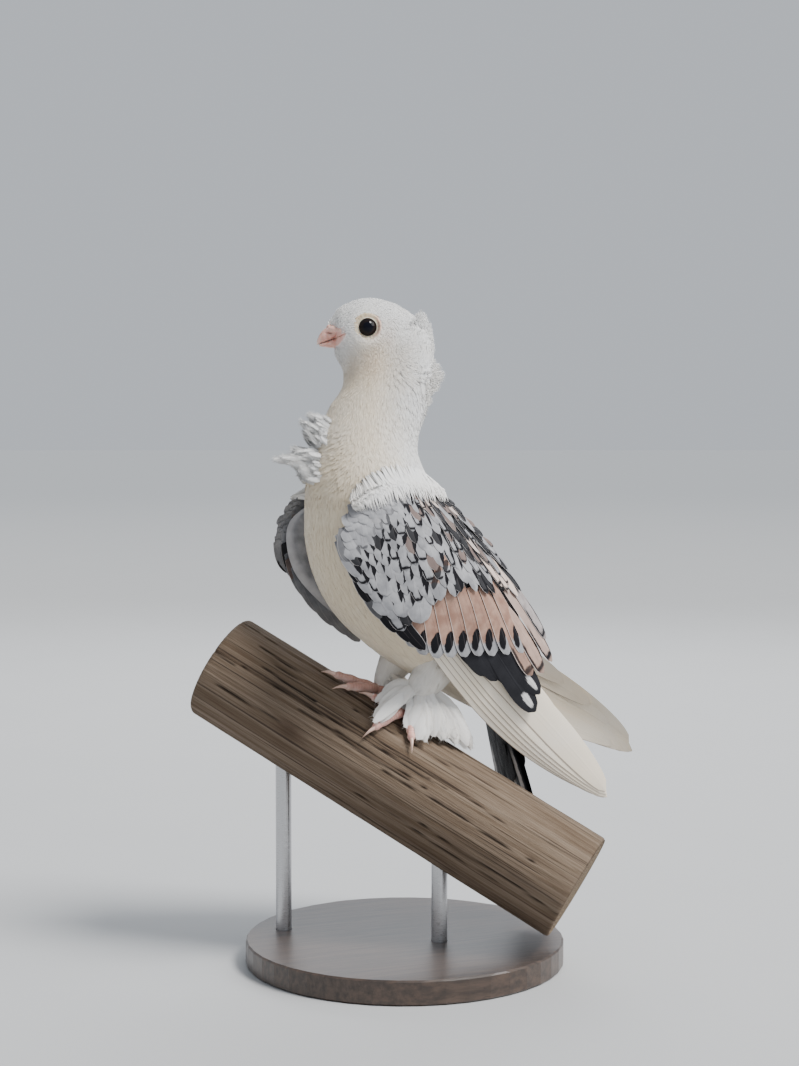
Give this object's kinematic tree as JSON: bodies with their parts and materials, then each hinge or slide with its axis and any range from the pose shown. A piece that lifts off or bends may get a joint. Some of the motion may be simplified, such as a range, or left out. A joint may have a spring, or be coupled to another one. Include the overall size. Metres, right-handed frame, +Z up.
{
  "type": "satinette pigeon",
  "caption": "Life-size still satinette pigeon with peak crest, chest frill, laced wing shields and feathered legs, perched on a cut wooden pole held by a round display stand.",
  "frame": {"origin": "centre of the underside of the round base plate", "axes": "+Z up; the bird's body faces -X with its left side towards -Y; +X towards its tail"},
  "size_m": [0.2266, 0.1617, 0.3319],
  "materials": {
    "white_feather": "matt, soft",
    "shield_feather": "matt, ash grey laced with black",
    "tail_feather": "matt, charcoal",
    "bill_horn": "satin, pale flesh",
    "toe_skin": "satin, scaly skin",
    "claw_horn": "satin horn",
    "eye": "wet gloss",
    "weathered_wood": "rough, cracked",
    "rod_steel": "satin",
    "base_plate": "satin paint"
  },
  "bodies": {
    "root": {"head": "white_feather", "neck": "white_feather", "torso": "white_feather", "leg_left": "white_feather", "leg_right": "white_feather", "wing_left": "shield_feather", "wing_right": "shield_feather", "tail": "tail_feather", "bill_upper": "bill_horn", "bill_lower": "bill_horn", "foot_left": "toe_skin", "foot_right": "toe_skin", "eye_left": "eye", "eye_right": "eye", "stand_perch": "weathered_wood", "stand_rod_front": "rod_steel", "stand_rod_rear": "rod_steel", "stand_base": "base_plate", "claw_left_1": "claw_horn", "claw_left_2": "claw_horn", "claw_left_3": "claw_horn", "claw_left_4": "claw_horn", "claw_right_1": "claw_horn", "claw_right_2": "claw_horn", "claw_right_3": "claw_horn", "claw_right_4": "claw_horn"}
  },
  "joints": []
}
